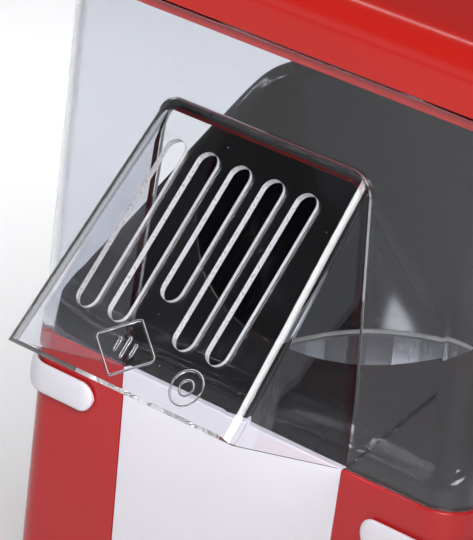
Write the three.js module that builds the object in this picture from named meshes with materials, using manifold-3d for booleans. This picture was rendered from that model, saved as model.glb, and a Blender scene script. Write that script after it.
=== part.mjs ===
// A table-top hot-air popcorn maker: a red and white base with the blower and heater inside, a black slide
// with a round bowl above the popping chamber, a clear front hood with a slotted chute, and a red roof.
// Units are millimetres, +Z is up, the chute points to -Y, and the origin is on the table under the middle
// of the whole object's box.
import * as THREE from 'three';
import { mergeVertices } from 'three/addons/utils/BufferGeometryUtils.js';
import Module from 'manifold-3d';

const wasm = await Module();
wasm.setup();

// ---- driving dimensions ----
const bodyWidth = 190;
const bodyDepth = 170;
const cornerRadius = 12;
const seamHeight = 118; // where the hood stands on the base
const hoodHeight = 128.4;
const hoodDepth = 119; // how far back the clear side walls reach
const shellWall = 2.6;
const clearWall = 2.4;
const gap = 0.3; // between pieces that touch

const footHeight = 5.7;
const footRadius = 8;
const plateWall = 2.5;
const plinthHeight = 12; // red band under the white front panel
const screwRadius = 1.5;
const screwHeadRadius = 3;
const footInset = 21; // of a foot's middle, from the side and from the front or back
const bossInset = 30; // of a screw boss, from the front or back
const bossWidth = 9;
const bossHeight = 14;
const shelfWall = 3; // ledge that the slide's skirt stands on
const ventCount = 9;
const ventPitch = 9;
const ventWidth = 4;
const ventLow = 46;
const ventHigh = 74;
const ventOffset = -10;
const inletSlotCount = 14;
const inletSlotLength = 16;
const inletSlotWidth = 3.2;
const inletSlotRadius = 31;

const panelHalfTop = 49.1; // white front panel, half its width at the seam
const panelTaper = 0.032; // what each side loses for every millimetre down
const panelFlange = 4; // rim behind the red columns

const gripHeight = 10.5;
const gripDrop = 10.7; // from the seam to the top of a grip
const gripWall = 2.8;
const gripStandoff = 6.2; // finger gap behind the straight stretch
const gripEnd = 61; // distance of a grip's rounded end from the middle
const gripRamp = 24; // over which a grip bows out
const gripFlat = 12; // that lies on the side before the bow starts
const gripBackInset = 2; // where a grip's rear end stops short of the back face
const studRadius = 2.5;
const studInset = 6; // of a stud, from the end of the corner

const chuteReach = 57.4;
const chuteTop = 98; // above the seam
const chuteLip = 24.3; // above the seam
const chuteHalfTop = 45.5;
const chuteHalfLow = 50.5;
const chuteWall = 2.5;
const chuteCorner = 7.5;
const slotCount = 5;
const slotPitch = 14.4;
const slotWidth = 8.4;
const slotStart = 11.8; // along the sloped panel from its top edge
const slotLength = 62.8;
const slotMiddleLength = 50;

const slideGap = 0.6; // between the slide and the hood
const slideWall = 2.4;
const slideSkirt = 5; // how far the slide reaches down into the base
const slideFrontRise = 7;
const slideSlope = 0.7;
const slideTop = 79; // above the seam
const bowlSideMargin = 10; // deck left beside the bowl
const bowlBackMargin = 10.8; // deck left behind the bowl
const bowlOffset = 4; // of the bowl's middle behind the body's
const bowlCurve = 0.8; // below 1 the bowl widens fastest near the chamber
const chamberRadius = 47.5;
const chamberWall = 1.2;
const chamberDepth = 34;
const chamberRim = 109; // height of its flange
const chamberSlots = 16;
const gasketReach = 7;
const gasketWall = 1.8;
const flangeReach = 4; // of the chamber's flange beyond the air duct

const ductGap = 7; // air jacket around the chamber
const ductWall = 1.5;
const ductFloor = 42;
const inletRadius = 30;
const fanRadius = 44;
const fanHeight = 10;
const fanBlades = 9;
const heaterHeight = 15;
const micaWall = 0.8;
const coilRadius = 33;
const coilTube = 4;
const coilTurns = 26;
const wireRadius = 0.6;

const motorRadius = 15;
const motorHeight = 26;
const shaftRadius = 1.5;
const bearingGap = 0.35;
const motorNeckRadius = 4;
const mountWall = 1.6;
const mountArmWidth = 9;
const bushCount = 3;
const bushHeight = 1.8;
const bushRadius = 4;
const bushInset = 10; // of a bush's middle, from the edge of the air inlet
const boardLength = 44;
const boardWidth = 26;
const boardWall = 1.6;
const boardSetback = 40; // of the board's front edge, from the back face

const rockerLength = 16;
const rockerWidth = 10;
const rockerTilt = 8; // degrees each way
const bezelRim = 1.8;
const bezelFlange = 2;
const bezelClearance = 1.2; // between the rocker and the opening in the base
const bezelDepth = 15;
const switchHeight = 38;
const switchSetback = 34; // from the back face
const glandRadius = 6;
const glandFlange = 2.5;
const cordHoleRadius = 3.4;
const glandHeight = 28;
const glandOffset = 58;

const roofSide = 10; // straight part of the roof's side
const roofFillet = 12;
const roofCrown = 5; // rise from the fillet to the collar
const roofCrownRun = 34; // over which it rises
const roofWall = 2.4;
const roofLip = 4.3; // reaches down inside the hood
const roofLipWall = 1.8;
const collarRadius = 40;
const collarHeight = 5;
const fillRadius = 33;
const cupRadius = 31.5;
const cupDepth = 30;
const cupWall = 1.6;
const cupTaper = 4;
const cupRim = 5.5;
const cupRimHeight = 2.4;

// ---- places worked out from them ----
const frontY = (chuteReach - bodyDepth) / 2;
const backY = frontY + bodyDepth;
const middleY = (frontY + backY) / 2;
const halfWidth = bodyWidth / 2;
const hoodBackY = frontY + hoodDepth;
const hoodTop = seamHeight + hoodHeight;
const plateBottom = footHeight + gap;
const slideInset = Math.max(clearWall, shellWall - slideGap + gap) + slideGap;
const bowlY = middleY + bowlOffset;

const colours = {
  red: [0xc2362e, 0.35, 0],
  white: [0xdedade, 0.4, 0],
  clear: [0xdfe4ea, 0.1, 0],
  black: [0x1c1c1f, 0.25, 0],
  rubber: [0x232323, 0.9, 0],
  silicone: [0xb9b9b4, 0.7, 0],
  aluminium: [0xb8babd, 0.35, 1],
  steel: [0xa5a8ac, 0.35, 1],
  heatWire: [0x6e665e, 0.5, 1],
  mica: [0xb7a26c, 0.6, 0],
  board: [0x3b6b3a, 0.6, 0],
};

function material(name) {
  const [color, roughness, metalness] = colours[name];
  return new THREE.MeshStandardMaterial({ color, roughness, metalness });
}

// ---- shapes ----

// The closed solid of a geometry, with its faces turned outwards.
function solid(geometry) {
  const bare = geometry.index ? geometry.toNonIndexed() : geometry.clone();
  bare.deleteAttribute('normal');
  bare.deleteAttribute('uv');
  const merged = mergeVertices(bare, 1e-4);
  const p = merged.attributes.position.array;
  const index = merged.index.array;
  const kept = [];
  let volume = 0;
  for (let i = 0; i < index.length; i += 3) {
    const [a, b, c] = [index[i], index[i + 1], index[i + 2]];
    if (a === b || b === c || a === c) continue;
    kept.push(a, b, c);
    const [ax, ay, az, bx, by, bz, cx, cy, cz] = [a, b, c].flatMap((v) =>
      [p[3 * v], p[3 * v + 1], p[3 * v + 2]]);
    volume += ax * (by * cz - bz * cy) - ay * (bx * cz - bz * cx) + az * (bx * cy - by * cx);
  }
  if (volume < 0) for (let i = 0; i < kept.length; i += 3) [kept[i], kept[i + 1]] = [kept[i + 1], kept[i]];
  return new wasm.Manifold(
    new wasm.Mesh({ numProp: 3, vertProperties: new Float32Array(p), triVerts: new Uint32Array(kept) }),
  );
}

const join = (...pieces) => pieces.reduce((whole, piece) => whole.add(piece));
const cut = (whole, ...tools) => tools.reduce((rest, tool) => rest.subtract(tool), whole);

function block(x0, x1, y0, y1, z0, z1) {
  const box = new THREE.BoxGeometry(x1 - x0, y1 - y0, z1 - z0);
  return solid(box.translate((x0 + x1) / 2, (y0 + y1) / 2, (z0 + z1) / 2));
}

// An upright cylinder, or one whose radius changes from z0 to z1.
function drum(radius, z0, z1, { x = 0, y = 0, sides = 24, topRadius = radius } = {}) {
  const cylinder = new THREE.CylinderGeometry(topRadius, radius, z1 - z0, sides);
  return solid(cylinder.rotateX(Math.PI / 2).translate(x, y, (z0 + z1) / 2));
}

// A cylinder along X.
function rodX(radius, x0, x1, y, z, sides = 12) {
  const cylinder = new THREE.CylinderGeometry(radius, radius, x1 - x0, sides);
  return solid(cylinder.rotateZ(Math.PI / 2).translate((x0 + x1) / 2, y, z));
}

// A cylinder along Y.
function rodY(radius, y0, y1, x, z, sides = 12) {
  return solid(new THREE.CylinderGeometry(radius, radius, y1 - y0, sides).translate(x, (y0 + y1) / 2, z));
}

// A closed profile of (radius, height) points turned about the vertical axis through (x, y).
function turned(profile, { x = 0, y = 0, sides = 32 } = {}) {
  const points = [...profile, profile[0]].map(([radius, height]) => new THREE.Vector2(radius, height));
  return solid(new THREE.LatheGeometry(points, sides).rotateX(Math.PI / 2).translate(x, y, 0));
}

const flat = (points) => new THREE.Shape(points.map(([a, b]) => new THREE.Vector2(a, b)));
const extruded = (points, depth) => new THREE.ExtrudeGeometry(flat(points), { depth, bevelEnabled: false });

// Outlines seen from above, from the front and from the right side, given a thickness along the view.
const slab = (points, z0, z1) => solid(extruded(points, z1 - z0).translate(0, 0, z0));
const frontal = (points, y0, y1) => solid(extruded(points, y1 - y0).rotateX(Math.PI / 2).translate(0, y1, 0));
function sideways(points, x0, x1) {
  const turn = new THREE.Matrix4().makeBasis(
    new THREE.Vector3(0, 1, 0), new THREE.Vector3(0, 0, 1), new THREE.Vector3(1, 0, 0));
  return solid(extruded(points, x1 - x0).applyMatrix4(turn).translate(x0, 0, 0));
}

// The body's rounded outline, moved inwards by an inset.
function bodyOutline(inset, steps = 6) {
  const radius = Math.max(cornerRadius - inset, 2);
  const x = halfWidth - inset - radius;
  const centres = [[x, backY - inset - radius], [-x, backY - inset - radius],
    [-x, frontY + inset + radius], [x, frontY + inset + radius]];
  return centres.flatMap(([cx, cy], corner) => Array.from({ length: steps + 1 }, (_, i) => {
    const angle = (corner + i / steps) * Math.PI / 2;
    return [cx + radius * Math.cos(angle), cy + radius * Math.sin(angle)];
  }));
}

// An ellipse about (0, y), as plan points.
const ellipse = (a, b, y, steps) => Array.from({ length: steps }, (_, i) => {
  const angle = 2 * Math.PI * i / steps;
  return [a * Math.cos(angle), y + b * Math.sin(angle)];
});

// A solid through a stack of rings of (x, y, z) points with equal counts, closed by its first and last ring,
// and then turned.
function loft(rings, turn = new THREE.Matrix4()) {
  const count = rings[0].length;
  const position = rings.flat(2);
  const index = [];
  rings.slice(1).forEach((_, r) => {
    for (let i = 0; i < count; i++) {
      const j = (i + 1) % count;
      const [a, b, c, d] = [r * count + i, r * count + j, (r + 1) * count + j, (r + 1) * count + i];
      index.push(a, b, c, a, c, d);
    }
  });
  const cap = (ring, base, flip) => {
    const points = ring.map(([x, y]) => new THREE.Vector2(x, y));
    THREE.ShapeUtils.triangulateShape(points, []).forEach(([a, b, c]) => {
      index.push(base + a, base + (flip ? c : b), base + (flip ? b : c));
    });
  };
  cap(rings[0], 0, true);
  cap(rings.at(-1), (rings.length - 1) * count, false);
  const geometry = new THREE.BufferGeometry();
  geometry.setAttribute('position', new THREE.Float32BufferAttribute(position, 3));
  geometry.setIndex(index);
  return solid(geometry.applyMatrix4(turn));
}

const group = new THREE.Group();

// Adds a solid to the group as a named mesh.
function add(name, shape, colour) {
  const { vertProperties, triVerts } = shape.getMesh();
  const geometry = new THREE.BufferGeometry();
  geometry.setAttribute('position', new THREE.Float32BufferAttribute(vertProperties, 3));
  geometry.setIndex(Array.from(triVerts));
  geometry.computeVertexNormals();
  const mesh = new THREE.Mesh(geometry, material(colour));
  mesh.name = name;
  group.add(mesh);
  return mesh;
}

// ---- base ----

const bossX = halfWidth - shellWall - 7;
const bossYs = [frontY + bossInset, backY - bossInset];
const footSpots = [-1, 1].flatMap((side) =>
  [frontY + footInset, backY - footInset].map((y) => [side * (halfWidth - footInset), y]));
const screwSpots = [-1, 1].flatMap((side) => bossYs.map((y) => [side * bossX, y]));
const panelHalf = (z) => panelHalfTop - panelTaper * (seamHeight - z);
const gripLow = seamHeight - gripDrop - gripHeight;
const studYs = [frontY + cornerRadius + studInset, backY - cornerRadius - studInset];
const gripMiddle = gripLow + gripHeight / 2;
const plinthTop = plateBottom + plinthHeight;

// The trapezium of the front window, each side moved out by grow.
const windowOutline = (grow, low, high) => [[-panelHalf(low) - grow, low], [panelHalf(low) + grow, low],
  [panelHalf(high) + grow, high], [-panelHalf(high) - grow, high]];

function baseShell() {
  const walls = cut(slab(bodyOutline(0), plateBottom, seamHeight),
    slab(bodyOutline(shellWall), plateBottom - 1, seamHeight + 1));
  const shelfTop = seamHeight - slideSkirt - gap;
  const shelfLow = shelfTop - shelfWall;
  const shelf = cut(slab(bodyOutline(shellWall / 2), shelfLow, shelfTop),
    slab(bodyOutline(slideInset + slideWall + 2), shelfLow - 1, shelfTop + 1),
    block(-halfWidth, halfWidth, frontY, frontY + cornerRadius, shelfLow - 1, shelfTop + 1));
  const bosses = screwSpots.map(([x, y]) => {
    const wall = Math.sign(x) * (halfWidth - shellWall / 2);
    const half = bossWidth / 2;
    return block(Math.min(x - half, wall), Math.max(x + half, wall), y - half, y + half,
      plateBottom + plateWall + gap, plateBottom + plateWall + bossHeight);
  });
  const pilots = screwSpots.map(([x, y]) =>
    drum(screwRadius + gap, plateBottom, plateBottom + plateWall + bossHeight - 2, { x, y, sides: 10 }));
  const vents = Array.from({ length: ventCount }, (_, i) => {
    const x = (i - (ventCount - 1) / 2) * ventPitch + ventOffset;
    return block(x - ventWidth / 2, x + ventWidth / 2, backY - shellWall - 1, backY + 1, ventLow, ventHigh);
  });
  const studHoles = studYs.flatMap((y) => [-1, 1].map((side) => {
    const wall = side * (halfWidth - shellWall / 2);
    return rodX(studRadius + gap, wall - shellWall, wall + shellWall, y, gripMiddle);
  }));
  const switchY = backY - switchSetback;
  const across = rockerWidth / 2 + bezelClearance + gap;
  const along = rockerLength / 2 + bezelClearance + gap;
  return cut(join(walls, shelf, ...bosses), ...pilots, ...vents, ...studHoles,
    frontal(windowOutline(0, plinthTop, seamHeight + 1), frontY - 1, frontY + shellWall + 1),
    block(halfWidth - shellWall - 1, halfWidth + 1, switchY - across, switchY + across,
      switchHeight - along, switchHeight + along),
    rodY(glandRadius + gap, backY - shellWall - 1, backY + 1, glandOffset, glandHeight, 16));
}

function frontPanel() {
  const window = windowOutline(-gap, plinthTop + gap, seamHeight);
  const plug = frontal(window, frontY, frontY + shellWall + gap + 1);
  const flangeTop = seamHeight - slideSkirt - 5;
  const flange = frontal(windowOutline(panelFlange, plinthTop - 3, flangeTop),
    frontY + shellWall + gap, frontY + shellWall + gap + 2);
  return cut(join(plug, flange),
    block(-halfWidth, halfWidth, frontY + shellWall, frontY + cornerRadius, flangeTop, seamHeight + 1));
}

function basePlate() {
  const slots = Array.from({ length: inletSlotCount }, (_, i) => {
    const geometry = new THREE.BoxGeometry(inletSlotLength, inletSlotWidth, plateWall + 2);
    geometry.translate(inletSlotRadius, 0, plateBottom + plateWall / 2);
    return solid(geometry.rotateZ(i * 2 * Math.PI / inletSlotCount).translate(0, middleY, 0));
  });
  const holes = screwSpots.map(([x, y]) =>
    drum(screwRadius + gap, plateBottom - 1, plateBottom + plateWall + 1, { x, y, sides: 10 }));
  return cut(slab(bodyOutline(shellWall + gap, 4), plateBottom, plateBottom + plateWall), ...slots, ...holes);
}

// The wrap-around grip on the side given by its sign, with two studs through the base wall.
function sideGrip(side) {
  const low = frontY + cornerRadius;
  const high = backY - cornerRadius;
  const smooth = (t) => { const c = Math.min(Math.max(t, 0), 1); return c * c * (3 - 2 * c); };
  const bow = (y) => gripStandoff * smooth((y - low - gripFlat) / gripRamp)
    * smooth((high - gripFlat - y) / gripRamp);
  const path = (offset) => {
    const corner = (cy, from) => Array.from({ length: 7 }, (_, i) => {
      const angle = from + i / 6 * Math.PI / 2;
      return [-halfWidth + cornerRadius - (cornerRadius + offset) * Math.sin(angle),
        cy - (cornerRadius + offset) * Math.cos(angle)];
    });
    const straight = Array.from({ length: 15 }, (_, i) => {
      const y = low + (i + 1) / 16 * (high - low);
      return [-halfWidth - offset - bow(y), y];
    });
    return [[0, frontY - offset], ...corner(low, 0), ...straight, ...corner(high, Math.PI / 2),
      [0, backY + offset]];
  };
  const band = slab([...path(gap), ...path(gap + gripWall).reverse()], gripLow, gripLow + gripHeight);
  const radius = gripHeight / 2;
  const endArc = Array.from({ length: 9 }, (_, i) => {
    const angle = -Math.PI / 2 + i / 8 * Math.PI;
    return [-gripEnd - radius + radius * Math.cos(angle), gripMiddle + radius * Math.sin(angle)];
  });
  const far = -halfWidth - 20;
  const pill = frontal([[far, gripLow], ...endArc, [far, gripLow + gripHeight]], frontY - 20, backY + 20);
  const back = block(far, 0, backY - gripBackInset, backY + 20, gripLow - 1, gripLow + gripHeight + 1);
  const studs = studYs.map((y) =>
    rodX(studRadius, -halfWidth - gap - 1, -halfWidth + shellWall + 1.5, y, gripMiddle));
  const grip = join(cut(band.intersect(pill), back), ...studs);
  if (side < 0) return grip;
  const { vertProperties, triVerts } = grip.getMesh();
  const mirrored = new THREE.BufferGeometry();
  mirrored.setAttribute('position', new THREE.Float32BufferAttribute(vertProperties, 3));
  mirrored.setIndex(Array.from(triVerts));
  return solid(mirrored.scale(-1, 1, 1));
}

function addBase() {
  add('base_shell', baseShell(), 'red');
  add('front_panel', frontPanel(), 'white');
  add('base_plate', basePlate(), 'black');
  footSpots.forEach(([x, y], i) => {
    const foot = drum(footRadius - 1.5, 0, footHeight, { x, y, sides: 16, topRadius: footRadius });
    add(`foot_${i + 1}`, foot, 'rubber');
  });
  screwSpots.forEach(([x, y], i) => {
    const head = drum(screwHeadRadius, plateBottom - gap - 2, plateBottom - gap, { x, y, sides: 10 });
    const stemTop = plateBottom + plateWall + bossHeight - 4;
    const stem = drum(screwRadius, plateBottom - gap - 1, stemTop, { x, y, sides: 10 });
    add(`base_screw_${i + 1}`, head.add(stem), 'steel');
  });
  add('left_grip', sideGrip(-1), 'white');
  add('right_grip', sideGrip(1), 'white');
}

// ---- slide and rear housing ----

function rearHousing() {
  const ring = cut(slab(bodyOutline(0), seamHeight + gap, hoodTop),
    slab(bodyOutline(shellWall), seamHeight, hoodTop + 1));
  return cut(ring, block(-bodyWidth, bodyWidth, frontY - 1, hoodBackY + gap, seamHeight - 1, hoodTop + 1));
}

// The height of the slide's deck at a distance behind the front face.
const deckHeight = (y) => seamHeight + Math.min(slideFrontRise + slideSlope * (y - frontY), slideTop);

// Everything below the deck, lowered by drop.
function belowDeck(drop, floor) {
  const kneeY = frontY + (slideTop - slideFrontRise) / slideSlope;
  return sideways([[frontY - 5, floor], [backY + 5, floor], [backY + 5, seamHeight + slideTop - drop],
    [kneeY, seamHeight + slideTop - drop],
    [frontY - 5, seamHeight + slideFrontRise - 5 * slideSlope - drop]], -bodyWidth, bodyWidth);
}

// The bowl between its oval mouth in the deck and the round chamber, moved outwards by grow.
function bowl(grow, low, high) {
  const steps = 40;
  const halfAcross = halfWidth - slideInset - bowlSideMargin;
  const halfAlong = backY - bowlY - slideInset - bowlBackMargin;
  const mouth = ellipse(halfAcross + grow, halfAlong + grow, bowlY, steps);
  const throat = ellipse(chamberRadius + grow, chamberRadius + grow, bowlY, steps);
  const rings = [0, 0.15, 0.4, 0.7, 1].map((rise) => mouth.map(([x, y], i) => {
    const flare = rise ** bowlCurve;
    const [startX, startY] = throat[i];
    return [startX + (x - startX) * flare, startY + (y - startY) * flare, low + (deckHeight(y) - low) * rise];
  }));
  return loft([...rings, mouth.map(([x, y]) => [x, y, high])]);
}

// The deck with its skirt and bowl, and a back wall that stands on the deck behind the clear hood.
function popcornSlide() {
  const bottom = seamHeight - slideSkirt;
  const top = seamHeight + slideTop + 20;
  const throat = chamberRim + gap + gasketWall + gap;
  const backTop = hoodTop + gap - roofLip - gap;
  const outer = slab(bodyOutline(slideInset), bottom, top).intersect(belowDeck(0, bottom - 5));
  const inner = slab(bodyOutline(slideInset + slideWall), bottom - 5, top)
    .intersect(belowDeck(slideWall, bottom - 9));
  const cone = bowl(slideWall, throat, top).intersect(belowDeck(0, throat - 5));
  const wallLow = deckHeight(hoodBackY) - slideWall;
  const backWall = cut(slab(bodyOutline(slideInset), wallLow, backTop),
    slab(bodyOutline(slideInset + slideWall), wallLow - 1, backTop + 1),
    block(-bodyWidth, bodyWidth, frontY - 1, hoodBackY + gap, wallLow - 1, backTop + 1));
  return cut(join(cut(outer, inner), cone, backWall), bowl(0, throat - 0.01, top + 5));
}

function addBody() {
  add('rear_housing', rearHousing(), 'red');
  add('popcorn_slide', popcornSlide(), 'black');
}

// ---- popping chamber, air duct and heater ----

const chamberFloor = chamberRim - chamberDepth;
const ductRadius = chamberRadius + chamberWall + ductGap;
const flangeRadius = ductRadius + flangeReach;
const axis = { x: 0, y: bowlY };

function poppingChamber() {
  const outer = chamberRadius + chamberWall;
  const cup = turned([[0, chamberFloor + 6], [outer - 8, chamberFloor], [outer, chamberFloor + 4],
    [outer, chamberRim - chamberWall], [flangeRadius, chamberRim - chamberWall], [flangeRadius, chamberRim],
    [chamberRadius, chamberRim], [chamberRadius, chamberFloor + 4.6], [outer - 8.4, chamberFloor + chamberWall],
    [0, chamberFloor + 6 + chamberWall]], axis);
  const slots = Array.from({ length: chamberSlots }, (_, i) => {
    const geometry = new THREE.BoxGeometry(8, 2, 9);
    geometry.rotateX(0.5).translate(outer, 0, chamberFloor + 12);
    return solid(geometry.rotateZ((i + 0.5) * 2 * Math.PI / chamberSlots).translate(0, bowlY, 0));
  });
  return cut(cup, ...slots);
}

function airDuct() {
  const top = chamberRim - chamberWall - gap;
  const outer = ductRadius + ductWall;
  return turned([[inletRadius, ductFloor], [outer, ductFloor], [outer, top - 1.5], [flangeRadius, top - 1.5],
    [flangeRadius, top], [ductRadius, top], [ductRadius, ductFloor + ductWall], [inletRadius, ductFloor + ductWall]],
  axis);
}

const ring = (inner, outer, z0, z1, sides = 32) =>
  turned([[inner, z0], [outer, z0], [outer, z1], [inner, z1]], { ...axis, sides });

const heaterTop = chamberFloor - 1.5;
const heaterLow = heaterTop - heaterHeight;
const coilZ = (heaterLow + heaterTop) / 2;

// Two crossed sheets, notched around the coil.
function micaFrame() {
  const reach = ductRadius - 1;
  const sheet = block(-reach, reach, bowlY - micaWall / 2, bowlY + micaWall / 2, heaterLow, heaterTop);
  const crossing = block(-micaWall / 2, micaWall / 2, bowlY - reach, bowlY + reach, heaterLow, heaterTop);
  const clearance = coilTube + wireRadius + gap;
  const notch = new THREE.TorusGeometry(coilRadius, clearance * 1.06, 8, 32).translate(0, bowlY, coilZ);
  return cut(join(sheet, crossing), solid(notch));
}

// The heating wire: a helix wound along a nearly full circle.
function heatingCoil() {
  class Winding extends THREE.Curve {
    getPoint(t) {
      const around = 0.1 + t * (2 * Math.PI - 0.2);
      const turn = t * coilTurns * 2 * Math.PI;
      const radius = coilRadius + coilTube * Math.cos(turn);
      return new THREE.Vector3(radius * Math.cos(around), bowlY + radius * Math.sin(around),
        coilZ + coilTube * Math.sin(turn));
    }
  }
  const section = flat([[-wireRadius, -wireRadius], [wireRadius, -wireRadius], [wireRadius, wireRadius],
    [-wireRadius, wireRadius]]);
  return solid(new THREE.ExtrudeGeometry(section, { steps: coilTurns * 7, extrudePath: new Winding() }));
}

function addAirPath() {
  add('popping_chamber', poppingChamber(), 'aluminium');
  add('chamber_gasket', ring(chamberRadius + 1, chamberRadius + gasketReach, chamberRim + gap,
    chamberRim + gap + gasketWall), 'silicone');
  add('air_duct', airDuct(), 'steel');
  add('heater_frame', micaFrame(), 'mica');
  add('heating_coil', heatingCoil(), 'heatWire');
  const wallX = ductRadius + ductWall + gap;
  add('thermostat', rodX(8, wallX, wallX + 5, bowlY, coilZ + 4, 20)
    .add(rodX(5, wallX + 4, wallX + 9, bowlY, coilZ + 4, 16)), 'steel');
  add('thermal_fuse', rodY(2, bowlY - 6, bowlY + 6, -wallX - 3, coilZ, 10)
    .add(rodY(0.6, bowlY - 14, bowlY + 14, -wallX - 3, coilZ, 6)), 'silicone');
}

// ---- blower ----

const mountTop = ductFloor - gap - bushHeight - gap;
const mountLow = mountTop - mountWall;
const motorTop = mountLow - gap;
const motorLow = motorTop - motorHeight;
const fanLow = ductFloor + ductWall + 3;
const shaftTop = fanLow + fanHeight + 1;
const bushAngles = Array.from({ length: bushCount }, (_, i) => Math.PI / 2 + i * 2 * Math.PI / bushCount);
const bushSpots = bushAngles.map((angle) =>
  [(inletRadius + bushInset) * Math.cos(angle), bowlY + (inletRadius + bushInset) * Math.sin(angle)]);

function motorCan() {
  const can = join(drum(motorRadius, motorLow, motorTop, axis),
    drum(motorNeckRadius, motorTop - 1, mountTop + 1, axis));
  return cut(can, drum(shaftRadius + bearingGap, motorLow + 3, mountTop + 3, { ...axis, sides: 12 }));
}

// A plate with three arms to the rubber bushes.
function motorMount() {
  const reach = inletRadius + bushInset + bushRadius;
  const arms = bushAngles.map((angle) => {
    const geometry = new THREE.BoxGeometry(reach, mountArmWidth, mountWall);
    return solid(geometry.translate(reach / 2, 0, (mountLow + mountTop) / 2).rotateZ(angle)
      .translate(0, bowlY, 0));
  });
  return cut(join(drum(motorRadius, mountLow, mountTop, axis), ...arms),
    drum(motorNeckRadius + gap, mountLow - 1, mountTop + 1, axis));
}

function impeller() {
  const hub = drum(7, fanLow, fanLow + fanHeight, { ...axis, sides: 20 });
  const disc = drum(fanRadius, fanLow, fanLow + 1.5, { ...axis, sides: 36 });
  const blades = Array.from({ length: fanBlades }, (_, i) => {
    const geometry = new THREE.BoxGeometry(fanRadius - 8, 1.4, fanHeight - 1);
    geometry.rotateZ(0.45).translate((fanRadius + 6) / 2, -4, fanLow + (fanHeight + 1) / 2);
    return solid(geometry.rotateZ(i * 2 * Math.PI / fanBlades).translate(0, bowlY, 0));
  });
  return cut(join(hub, disc, ...blades),
    drum(shaftRadius + gap, fanLow - 1, fanLow + fanHeight + 1, { ...axis, sides: 12 }));
}

// The converter board on the base plate: the board with its diodes and capacitor.
function powerBoard() {
  const low = plateBottom + plateWall + gap;
  const y = backY - boardSetback;
  const left = -boardLength / 2;
  const top = low + boardWall;
  const board = block(left, left + boardLength, y, y + boardWidth, low, top);
  const diodes = [0, 1, 2, 3].map((i) =>
    block(left + 4 + i * 6, left + 7 + i * 6, y + 5, y + 13, top - 0.6, top + 2.8));
  const capacitor = drum(5, top - 0.6, top + 12.4, { x: -left - 8, y: y + boardWidth / 2, sides: 14 });
  return join(board, ...diodes, capacitor);
}

function addBlower() {
  add('motor', motorCan(), 'steel');
  add('motor_mount', motorMount(), 'steel');
  bushSpots.forEach(([x, y], i) => {
    const bush = drum(bushRadius, mountTop + gap, ductFloor - gap, { x, y, sides: 12 });
    add(`mount_bush_${i + 1}`, bush, 'rubber');
  });
  add('motor_shaft', drum(shaftRadius, motorLow + 4, shaftTop, { ...axis, sides: 12 }), 'steel');
  add('fan_impeller', impeller(), 'white');
  add('power_board', powerBoard(), 'board');
}

// ---- switch and cord gland ----

function addControls() {
  const y = backY - switchSetback;
  const faceX = halfWidth + gap;
  const frame = (grow, x0, x1) => {
    const across = rockerWidth / 2 + bezelClearance + grow;
    const along = rockerLength / 2 + bezelClearance + grow;
    return block(x0, x1, y - across, y + across, switchHeight - along, switchHeight + along);
  };
  const rim = frame(bezelFlange, faceX, faceX + bezelRim);
  const bezel = cut(join(rim, frame(0, faceX - bezelDepth, faceX + 0.5)),
    frame(-0.9, faceX - bezelDepth + 2, faceX + 5));
  add('switch_bezel', bezel, 'black');
  const half = rockerLength / 2 - 0.4;
  const outline = [[-half, 2.8], [0, 0.9], [half, 2.8], [half - 0.8, -3.2], [3, -5], [-3, -5], [-half + 0.8, -3.2]];
  const tilt = THREE.MathUtils.degToRad(rockerTilt);
  const points = outline.map(([along, out]) => [
    faceX + out * Math.cos(tilt) + along * Math.sin(tilt),
    switchHeight + along * Math.cos(tilt) - out * Math.sin(tilt)]);
  add('switch_rocker', frontal(points, y - rockerWidth / 2, y + rockerWidth / 2), 'red');
  const inside = backY - shellWall - gap;
  const gland = join(rodY(glandRadius, inside - 2, backY, glandOffset, glandHeight, 16),
    rodY(glandRadius + glandFlange, inside - 3, inside, glandOffset, glandHeight, 16));
  const hole = rodY(cordHoleRadius, inside - 9, backY + 1, glandOffset, glandHeight, 12);
  add('cord_gland', cut(gland, hole), 'rubber');
}

// ---- clear hood and chute ----

const lipZ = seamHeight + chuteLip;
const topZ = seamHeight + chuteTop;

// The chute's section at a distance in front of the hood: upright sides up to the lip's height, which then
// lean in to a rounded top that comes down with the slope. Its top is lowered by drop and its sides grow out.
function chuteSection(ahead, grow, drop, low) {
  const t = ahead / chuteReach;
  const top = topZ - t * (chuteTop - chuteLip) - drop;
  const radius = chuteCorner + grow;
  const half = chuteHalfTop + Math.min(t, 1) * (chuteHalfLow - chuteHalfTop) + grow;
  const knee = Math.min(lipZ, top - radius);
  const lean = Math.atan2(chuteHalfLow + grow - half, Math.max(top - radius - knee, 1));
  const corner = Array.from({ length: 6 }, (_, i) => {
    const angle = lean + i / 5 * (Math.PI / 2 - lean);
    return [half - radius + radius * Math.cos(angle), top - radius + radius * Math.sin(angle)];
  });
  const right = [[chuteHalfLow + grow, low], [chuteHalfLow + grow, knee], ...corner];
  return [...right, ...right.map(([x, z]) => [-x, z]).reverse()];
}

// A solid through sections seen from the front, each at its own distance in front of the hood.
function alongFront(sections) {
  const turn = new THREE.Matrix4().makeRotationX(Math.PI / 2);
  return loft(sections.map(([ahead, outline]) => outline.map(([x, z]) => [x, z, ahead - frontY])), turn);
}

function clearHood() {
  const ring = cut(slab(bodyOutline(0), seamHeight + gap, hoodTop),
    slab(bodyOutline(clearWall), seamHeight, hoodTop + 1));
  return cut(ring, block(-bodyWidth, bodyWidth, hoodBackY, backY + 1, seamHeight - 1, hoodTop + 1),
    frontal(chuteSection(0, gap, -gap, seamHeight - 1), frontY - 1, frontY + cornerRadius));
}

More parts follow.
